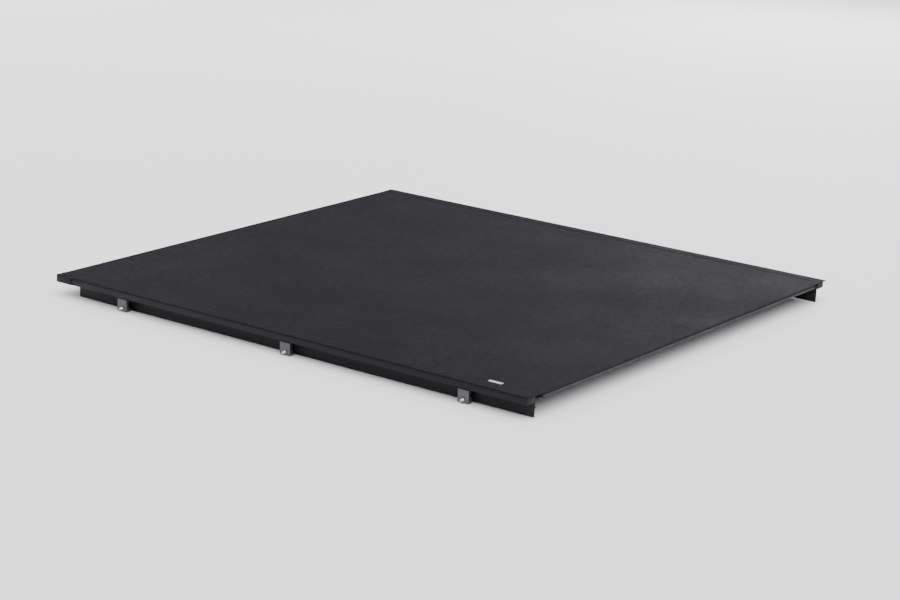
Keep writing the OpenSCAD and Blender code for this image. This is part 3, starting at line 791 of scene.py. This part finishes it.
front_panel()
for k in range(1, LAST + 1):
    sheet_piece(k)

# ---------- label

def blank_label():
    """A small blank cloth tag on the sheet's rear left."""
    length, width, corner, thick, fold = 0.044, 0.014, 2 * MM, 0.45 * MM, 19
    centre_x, centre_y = -0.765, -1.555
    seam_in, seam_deep = 1.4 * MM, 0.18 * MM
    across = np.linspace(-width / 2, width / 2, 17)
    rows = []
    for y in np.linspace(-length / 2, length / 2, 45):
        inset = max(0.0, abs(y) - (length / 2 - corner))
        half = width / 2 - (corner - math.sqrt(max(corner ** 2 - inset ** 2, 0.0)))
        at_x = centre_x + across / (width / 2) * half
        at_y = np.full(len(at_x), centre_y + y)
        border = np.minimum(width / 2 - np.abs(across), length / 2 - abs(y))
        seam = -seam_deep * np.exp(-((border - seam_in) / (0.4 * MM)) ** 2)
        ground = UNDERSIDE + top_of(at_x, at_y)
        top = ground + (thick + seam) * np.clip(border / (0.3 * MM), 0.15, 1)
        lower = np.stack([at_x, at_y, ground - 0.2 * MM], 1)
        rows.append(np.concatenate([np.stack([at_x, at_y, top], 1), lower[::-1]]))
    made = Builder()
    made.add_loft(np.array(rows), mirrored_caps=True)
    for side in (-1, 1):
        y = centre_y + np.arange(-0.0200, 0.0190, 2.2 * MM)
        x = np.full(len(y), centre_x + side * (width / 2 - seam_in))
        starts = np.stack([x, y, UNDERSIDE + top_of(x, y) + thick - 0.22 * MM], 1)
        add_stitches(made, starts, starts + (0, 1.6 * MM, 0), UP, paint=0, radius=0.22 * MM)
    tag = made.make("blank_label", [LABEL])
    bend(tag, fold)


blank_label()

# ---------- pockets that hold the bows

def pocket_outline(middle):
    """Half-way line of a pocket's cloth round one bow, as (y, z), from its front flange to its rear."""
    flange, gap, corner = 4.8 * MM, 0.1 * MM, 2 * MM
    edge, low = middle + HALF_BOW, UNDERSIDE - 10 * MM
    half = [(edge + flange, UNDERSIDE - 0.42 * MM), (edge + 3.5 * MM, UNDERSIDE - 0.49 * MM),
            (edge + 1.2 * MM, UNDERSIDE - 1.2 * MM), (edge + 0.3 * MM, UNDERSIDE - 3.4 * MM)]
    half += [(edge - corner + (corner + gap) * math.cos(a), low + corner - (corner + gap) * math.sin(a))
             for a in np.radians((0, 30, 60, 90))]
    half += [(middle + 9 * MM, low - gap)]
    return np.array(half + [(middle, low - gap)] + [(2 * middle - y, z) for y, z in half[::-1]])


def bow_pocket(index, k):
    """The cloth pocket welded to the sheet's underside round one bow."""
    reach, cloth = 0.735, 0.7 * MM
    centre = pocket_outline(strip_mid(k))
    tangent = unit(np.gradient(centre, axis=0))
    normal = np.stack([-tangent[:, 1], tangent[:, 0]], 1)
    xs = np.r_[-reach, -reach + 2 * MM, np.linspace(-reach + 6 * MM, reach - 6 * MM, 110),
               reach - 2 * MM, reach]
    around = np.linspace(0, np.pi, len(centre))
    rows = []
    for x in xs:
        wrinkle = 0.00018 * np.sin(63 * x + 1.7 * index) * np.sin(around)
        wrinkle += 0.00012 * np.sin(171 * x + 0.9) * np.sin(2 * around)
        hem = 0.5 * MM * ramp(abs(x), reach - 10 * MM, reach - 9 * MM)
        outer = centre + normal * (cloth + np.maximum(wrinkle, 0) + hem)[:, None]
        loop = np.concatenate([outer, (centre + normal * 0.1 * MM)[::-1]])
        rows.append(np.column_stack([np.full(len(loop), x), loop]))
    shape = np.array(rows)
    length = running_length(centre)
    uv = np.zeros(shape.shape[:2] + (2,))
    uv[:, :, 0] = xs[:, None]
    uv[:, :, 1] = np.r_[length, length[::-1]] + strip_mid(k)
    pocket = lofted(f"bow_pocket_{index}", BACKING, shape, uv, mirrored_caps=True)
    place(pocket, strip_body(k), slot="cover_fabric")


for index, k in enumerate(BOW_STRIPS, 1):
    bow_pocket(index, k)

# ---------- welt in the header's groove

def welt():
    """The welt cord, with a fine laid twist, in the header's groove."""
    reach, radius, strands, lay = 0.8035, 2.25 * MM, 3, 8 * MM
    centre_y, centre_z = 0.0265, 0.00785
    xs = np.linspace(-reach, reach, 1200)[:, None]
    turn = full_turn(14)[None, :]
    end = np.clip((reach - np.abs(xs)) / (1.2 * MM), 0.0, 1.0)
    ring = radius * np.sqrt(1 - (1 - end) ** 2 * 0.75)
    ring = ring + 0.1 * MM * np.cos(strands * turn + xs * 2 * np.pi / lay)
    shape = np.stack([xs + 0 * ring, centre_y + ring * np.cos(turn), centre_z + ring * np.sin(turn)], 2)
    place(lofted("cover_welt_cord", THREAD, shape), "rail_frame", "cover_welt", slot="cover_fabric")


welt()

# ---------- hook tape on the rails

# The tape's section (x, height in mm): a woven base with a groove along each edge
TAPE_SECTION = [(0.7841, 0.0), (0.7841, 0.45), (0.7846, 0.6), (0.7856, 0.6), (0.7862, 0.45),
                (0.7868, 0.6), (0.7980, 0.62), (0.8092, 0.6), (0.8098, 0.45), (0.8104, 0.6),
                (0.8114, 0.6), (0.8119, 0.45), (0.8119, 0.0)]
# A hook from its foot to its tip, in mm: (height, half its width, how far it leans)
HOOK_LEVELS = ((0.45, 0.22, 0.0), (1.05, 0.18, 0.1), (1.20, 0.42, 0.25), (1.42, 0.30, 0.30))


def hook_tapes():
    """Rows of small hooks on a woven base, along the top of each side rail."""
    made = Builder()
    (_, rear, low), (_, front, _) = node_box("rail_hook_tapes")
    section_x, section_z = np.array(TAPE_SECTION).T
    ys = np.linspace(front, rear, 360)[:, None]
    weave = 0.04 * MM * np.sin(900 * ys) * (section_z > 0.1)
    wander = 0.08 * MM * np.sin(140 * ys)
    corners = ((-1, -1), (1, -1), (1, 1), (-1, 1))
    hook = MM * np.array([(a * half, b * half + lean, z)
                          for z, half, lean in HOOK_LEVELS for a, b in corners])
    faces = loft_faces(len(HOOK_LEVELS), len(corners))
    columns = np.arange(0.7882, 0.8082, 2.8 * MM)
    base_z = low + section_z * MM + weave
    for sign in SIDES.values():
        made.add_loft(np.stack([sign * (section_x + wander), ys + 0 * weave, base_z], 2))
        for j, y in enumerate(np.arange(rear + 3 * MM, front - 2 * MM, 3.4 * MM)):
            for x in columns + (1.4 * MM if j % 2 else 0.0):
                made.add(hook * (sign, 1, 1) + (sign * x, y, low), faces)
    tape = made.make("rail_hook_tape", [HOOKS], sharp=60)
    place(tape, "rail_frame", "rail_hook_tapes", slot="hook_tape")


hook_tapes()

# ---------- seals

# A foam strip's section: (share of its half width, share of its height)
FOAM_HALF = [(1.0, 0.0), (1.0, 0.45), (0.93, 0.78), (0.76, 0.95), (0.4, 1.0)]
FOAM_SECTION = [(-w, h) for w, h in FOAM_HALF] + [(0.0, 0.97)] + FOAM_HALF[::-1]


def strip_seal(made, along, middle, start, end):
    """A foam strip, 11.8 by 2.4 mm, along one axis, with a slightly uneven edge."""
    half, height, count = 5.9 * MM, 2.4 * MM, 420
    s = np.linspace(start, end, count)[:, None]
    wide, high = np.array(FOAM_SECTION).T
    wander = 1 - 0.020 * (0.5 + 0.5 * np.sin(83 * s + 2.1) * np.sin(31 * s))
    cut = np.clip(np.minimum(np.abs(s - start), np.abs(s - end)) / (0.8 * MM), 0.55, 1)
    shape = np.empty((count, len(wide), 3))
    shape[:, :, along] = s
    shape[:, :, 1 - along] = middle + half * wide * wander
    shape[:, :, 2] = height * (1 - high * cut * (0.985 + 0.015 * np.sin(57 * s)))
    made.add_loft(shape)


side_seals, front_seal = Builder(), Builder()
(_, rail_rear, _), (_, rail_front, _) = node_box("rail_seals")
(header_end, _, _), _ = node_box("bulkhead_seal")
for sign in SIDES.values():
    strip_seal(side_seals, 1, sign * 0.8060, rail_front, rail_rear)
strip_seal(front_seal, 0, 0.0180, header_end, -header_end)
place(side_seals.make("rail_seal_foam", [FOAM]), "rail_frame", "rail_seals", slot="seal_foam")
place(front_seal.make("bulkhead_seal_foam", [FOAM]), "rail_frame", "bulkhead_seal", slot="seal_foam")


def tail_seal():
    """The rear edge's rubber extrusion: a foot, a hollow bulb and a fin under the sheet's edge."""
    (left, fin_tip, _), (right, face, top) = node_box("tail_seal")
    foot, bulb_y, bulb_z, bulb_radius, hollow_radius = 0.0060, face - 5.2 * MM, 0.0110, 4.2 * MM, 2.8 * MM
    outline = [(face, foot), (face, top),
               (fin_tip + 1.0 * MM, top), (fin_tip + 0.3 * MM, top - 0.3 * MM), (fin_tip, top - 1.0 * MM),
               (fin_tip + 0.3 * MM, top - 1.7 * MM), (fin_tip + 1.0 * MM, top - 2.0 * MM),
               (face - 3.4 * MM, top - 2.0 * MM), (face - 2.4 * MM, top - 2.4 * MM),
               (face - 2.0 * MM, top - 3.4 * MM)]
    start = math.degrees(math.asin((0.0145 - bulb_z) / bulb_radius))
    bulb = [(bulb_y + bulb_radius * math.cos(a), bulb_z + bulb_radius * math.sin(a))
            for a in np.radians(np.linspace(start, 360 - start * 0.98, 30))]
    outline += [(y, z) for y, z in bulb if y < face - 1.6 * MM]
    outline += [(face - 2.0 * MM, foot + 0.6 * MM), (face - 1.6 * MM, foot + 0.1 * MM)]
    hollow = [(bulb_y + hollow_radius * math.cos(a), bulb_z + hollow_radius * math.sin(a))
              for a in full_turn(24)]
    seal = extruded(outline, hollow, np.linspace(left, right, 240), "tail_seal_rubber", [RUBBER])
    place(seal, "strip_20", "tail_seal", slot="seal_rubber")


def end_triangles(outline, hole):
    """Triangles between an outline and the round hole in it, as places in outline + hole."""
    n, m = len(outline), len(hole)
    points = [Vector(point) for point in [*outline, *hole]]
    edges = [(i, (i + 1) % n) for i in range(n)] + [(n + i, n + (i + 1) % m) for i in range(m)]
    found = delaunay_2d_cdt(points, edges, [], 2, 1e-7)
    centre = np.mean(hole, axis=0)
    radius = np.linalg.norm(np.array(hole) - centre, axis=1).max() * 0.999
    triangles = []
    for triangle in found[2]:
        source = [found[3][i][0] for i in triangle]
        middle = np.mean([points[i] for i in source], axis=0)
        if min(source) < n or np.linalg.norm(middle - centre) >= radius:
            triangles.append(source)
    return triangles


def extruded(outline, hole, xs, name, materials):
    """A section (y, z) with one round hole, drawn along x, with its ends closed round the hole."""
    n, m, rows = len(outline), len(hole), len(xs)
    walls = [np.array([[(x, y, z) for y, z in ring] for x in xs]).reshape(-1, 3) for ring in (outline, hole)]
    faces = wall_faces(rows, n).tolist() + (wall_faces(rows, m)[:, ::-1] + rows * n).tolist()
    ends = end_triangles(outline, hole)
    for row, turn in ((0, 1), (rows - 1, -1)):
        faces += [[row * n + i if i < n else rows * n + row * m + i - n for i in triangle][::turn]
                  for triangle in ends]
    made = Builder()
    made.add(np.concatenate(walls), faces)
    return made.make(name, materials)


tail_seal()

# ---------- storage straps

# The webbing's section across half its width: (share of the half width, share of the thickness)
WEB_HALF = [(-1.0, 0.25), (-0.985, 0.70), (-0.95, 0.96), (-0.90, 1.0), (-0.86, 0.86), (-0.6, 0.90),
            (-0.3, 0.88)]
WEB_SECTION = np.array(WEB_HALF + [(0.0, 0.90)] + [(-w, t) for w, t in WEB_HALF[::-1]])


def ribbon(path, width, thick, middle_x):
    """A band of webbing along a path of (y, z) points, with raised edges and rounded sides."""
    length = running_length(path)
    fine = np.linspace(0, length[-1], int(length[-1] / MM) + 2)
    centre = np.column_stack([np.interp(fine, length, path[:, i]) for i in (0, 1)])
    tangent = unit(np.gradient(centre, axis=0))
    normal_y, normal_z = -tangent[:, 1, None], tangent[:, 0, None]
    share, height = WEB_SECTION.T
    rib = 1 + 0.05 * np.sin(2 * np.pi * fine / (2 * MM))[:, None]
    height = thick / 2 * height * np.where(np.abs(share) < 0.88, rib, 1.0)
    x = middle_x + width / 2 * share + 0.12 * MM * np.sin(190 * fine)[:, None] * np.sign(share)
    faces = [np.stack([x, centre[:, 0, None] + sign * normal_y * height,
                       centre[:, 1, None] + sign * normal_z * height], 2) for sign in (1, -1)]
    shape = np.concatenate([faces[0], faces[1][:, ::-1]], 1)
    uv = np.stack([shape[:, :, 0], np.broadcast_to(fine[:, None], shape.shape[:2])], 2)
    return shape, uv, float(length[-1])


def strap_path():
    """Four folded layers, then up to the header's rear face and down it."""
    low, step, front, rear = 0.0060, 3.2 * MM, -0.0380, -0.1160
    header, bend, end = HEADER_REAR - 0.8 * MM, 1.4 * MM, 0.0094
    points = [(front, low)]
    for layer in range(3):
        start, stop = (front, rear) if layer % 2 == 0 else (rear, front)
        z, sense = low + layer * step, 1 if stop > start else -1
        points += [(y, z) for y in np.linspace(start, stop, 26)[1:]]
        points += [(stop + sense * step / 2 * math.cos(a), z + step / 2 * (1 + math.sin(a)))
                   for a in np.radians(np.linspace(-90, 90, 9))]
    top = low + 3 * step
    points += [(y, top) for y in np.linspace(rear, header - bend, 30)[1:]]
    points += [(header - bend + bend * math.sin(a), top - bend + bend * math.cos(a))
               for a in np.radians((15, 30, 45, 60, 75, 90))]
    points += [(header, z) for z in np.linspace(top - bend, end, 7)[1:]]
    return np.array(points)


for side, sign in SIDES.items():
    shape, uv, length = ribbon(strap_path(), 24.6 * MM, 1.55 * MM, sign * 0.520)
    band = lofted(f"strap_webbing_{side}", WEBBING, shape, uv, mirrored_caps=True)
    place(band, "rail_frame", f"storage_strap_{side}", slot="webbing")

# ---------- latch springs and clamp screws

def across_node(node):
    """For a part that lies along x: its near and far ends from the middle, and its axis (y, z)."""
    low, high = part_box(node)
    near, far = sorted((abs(low.x), abs(high.x)))
    return near, far, (low.y + high.y) / 2, (low.z + high.z) / 2


def latch_spring(side, sign):
    """A coil spring with closed ends."""
    near, far, y, z = across_node(f"latch_spring_{side}")
    wire, coil, turns, seat = 0.4 * MM, 2.2 * MM, 8, 0.682
    u = np.linspace(0, 1, turns * 28)
    pace = np.interp(u, [0, 1 / turns, 1 - 1 / turns, 1], [0, 0.045, 0.955, 1])
    x = near + wire + (far - near - 2 * wire) * pace
    angle = 2 * np.pi * turns * u
    path = np.stack([sign * x, y + coil * np.cos(angle), z + coil * np.sin(angle)], 1)
    spring = lofted(f"latch_spring_coil_{side}", STEEL, tube(path, wire * 0.98, 10))
    place(spring, "strip_20", f"latch_spring_{side}", slot="zinc_steel")
    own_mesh(spring)


for side, sign in SIDES.items():
    latch_spring(side, sign)


def hexagon(turn, corner):
    """Radius at each angle of a hexagon whose corners lie at a given radius."""
    return corner * math.cos(math.pi / 6) / np.cos((turn + math.pi / 6) % (math.pi / 3) - math.pi / 6)


SCREW_TURN = full_turn(36)
THREAD_PITCH, THREAD_CREST, THREAD_ROOT = 1.25 * MM, 4.0 * MM, 3.42 * MM


def screw_head():
    """The head's section from its socket to under its flange: (distance from the end, radius)."""
    socket, head = hexagon(SCREW_TURN, 3.5 * MM), hexagon(SCREW_TURN, 7.4 * MM)
    return [(4.4, 0.2 * MM), (4.0, np.minimum(socket, 2.9 * MM)), (3.9, socket), (0.5, socket),
            (0.0, socket + 0.4 * MM), (0.0, np.minimum(head, 6.2 * MM)), (0.5, np.minimum(head, 6.7 * MM)),
            (1.1, np.minimum(head, 7.1 * MM)), (2.0, head), (6.7, head), (6.9, np.maximum(head, 7.2 * MM)),
            (7.1, 7.8 * MM), (7.5, 8.0 * MM), (8.6, 8.0 * MM), (8.9, 7.7 * MM), (8.9, 4.0 * MM)]


def clamp_screw(side, sign, where):
    """A hex-head screw with a socket, a flange and a cut thread."""
    node = f"clamp_screw_{side}_{where}"
    near, far, y, z = across_node(node)
    rings = [(near + x * MM, radius) for x, radius in screw_head()]
    for x in np.arange(near + 9.2 * MM, far - 0.2 * MM, THREAD_PITCH / 6):
        phase = (x / THREAD_PITCH - SCREW_TURN / (2 * np.pi)) % 1.0
        cut = np.clip(np.abs(phase - 0.5) * 2.6 - 0.15, 0, 1)
        plain = 1 - ramp(x, near + 12 * MM, near + 13 * MM)
        radius = THREAD_ROOT + (THREAD_CREST - THREAD_ROOT) * np.maximum(cut, plain)
        rings.append((x, np.minimum(radius, THREAD_CREST - MM * ramp(x, far - 3 * MM, far))))
    rings.append((far, 2.7 * MM))
    shape = np.empty((len(rings), len(SCREW_TURN), 3))
    for row, (x, radius) in zip(shape, rings):
        row[:, 0] = sign * x
        row[:, 1], row[:, 2] = y + radius * np.cos(SCREW_TURN), z + radius * np.sin(SCREW_TURN)
    screw = lofted(f"threaded_screw_{side}_{where}", ZINC, shape, sharp=28)
    place(screw, f"screw_{side}_{where}", node, slot="zinc_steel")


for side, sign in SIDES.items():
    for where in PLACES:
        clamp_screw(side, sign, where)

# ---------- rigid parts

def soften(node, body, width, material, slot):
    """A copy of a rigid part with its sharp edges broken, standing for the part."""
    made = frame["nodes"][node].copy()
    made.data = frame["nodes"][node].data.copy()
    for key in list(made.keys()):
        del made[key]
    made.parent = None
    made.name = f"{node}_finished"
    made.hide_render = made.hide_viewport = False
    bpy.context.scene.collection.objects.link(made)
    work = bmesh.new()
    work.from_mesh(made.data)
    bmesh.ops.remove_doubles(work, verts=work.verts, dist=1e-6)
    bmesh.ops.dissolve_limit(work, angle_limit=math.radians(1.0), verts=work.verts, edges=work.edges)
    work.to_mesh(made.data)
    work.free()
    bevel = made.modifiers.new("edges", "BEVEL")
    bevel.width, bevel.segments, bevel.limit_method = width * MM, 2, "ANGLE"
    bevel.angle_limit = math.radians(30)
    bevel.use_clamp_overlap = True
    bpy.context.view_layer.update()
    ready = bpy.data.meshes.new_from_object(made.evaluated_get(bpy.context.evaluated_depsgraph_get()))
    made.modifiers.clear()
    made.data = ready
    ready.polygons.foreach_set("use_smooth", [True] * len(ready.polygons))
    ready.set_sharp_from_angle(angle=math.radians(45))
    ready.materials.clear()
    ready.materials.append(material)
    ready.polygons.foreach_set("material_index", [0] * len(ready.polygons))
    return place(made, body, node, slot=slot)


# Each rigid part: its body, the width of its broken edges in mm, its material and its slot
RIGID = [
    ("side_rail_left", "rail_frame", 0.30, RAIL_BLACK, "rail_black"),
    ("side_rail_right", "rail_frame", 0.30, RAIL_BLACK, "rail_black"),
    ("front_header", "rail_frame", 0.30, HEADER_BLACK, "rail_black"),
    ("header_corner_brackets", "rail_frame", 0.40, CAST, "cast_metal"),
    ("header_screws", "rail_frame", 0.18, ZINC, "zinc_steel"),
    ("end_caps", "rail_frame", 0.30, PLASTIC, "black_plastic"),
    ("clamp_brackets", "rail_frame", 0.60, CAST, "cast_metal"),
    ("strap_buckles", "rail_frame", 0.40, PLASTIC, "black_plastic"),
    ("tail_bar", "strip_20", 0.30, HEADER_BLACK, "rail_black"),
    ("latch_housings", "strip_20", 0.40, PLASTIC, "black_plastic"),
]
RIGID += [(f"latch_bolt_{side}", f"latch_{side}", 0.30, ZINC, "zinc_steel") for side in SIDES]
RIGID += [(f"cross_bow_{i}", strip_body(k), 0.30, ALUMINIUM, "bow_aluminium")
          for i, k in enumerate(BOW_STRIPS, 1)]
RIGID += [(f"clamp_jaw_{side}_{where}", f"jaw_{side}_{where}", 0.40, CAST, "cast_metal")
          for side in SIDES for where in PLACES]
for part in RIGID:
    soften(*part)
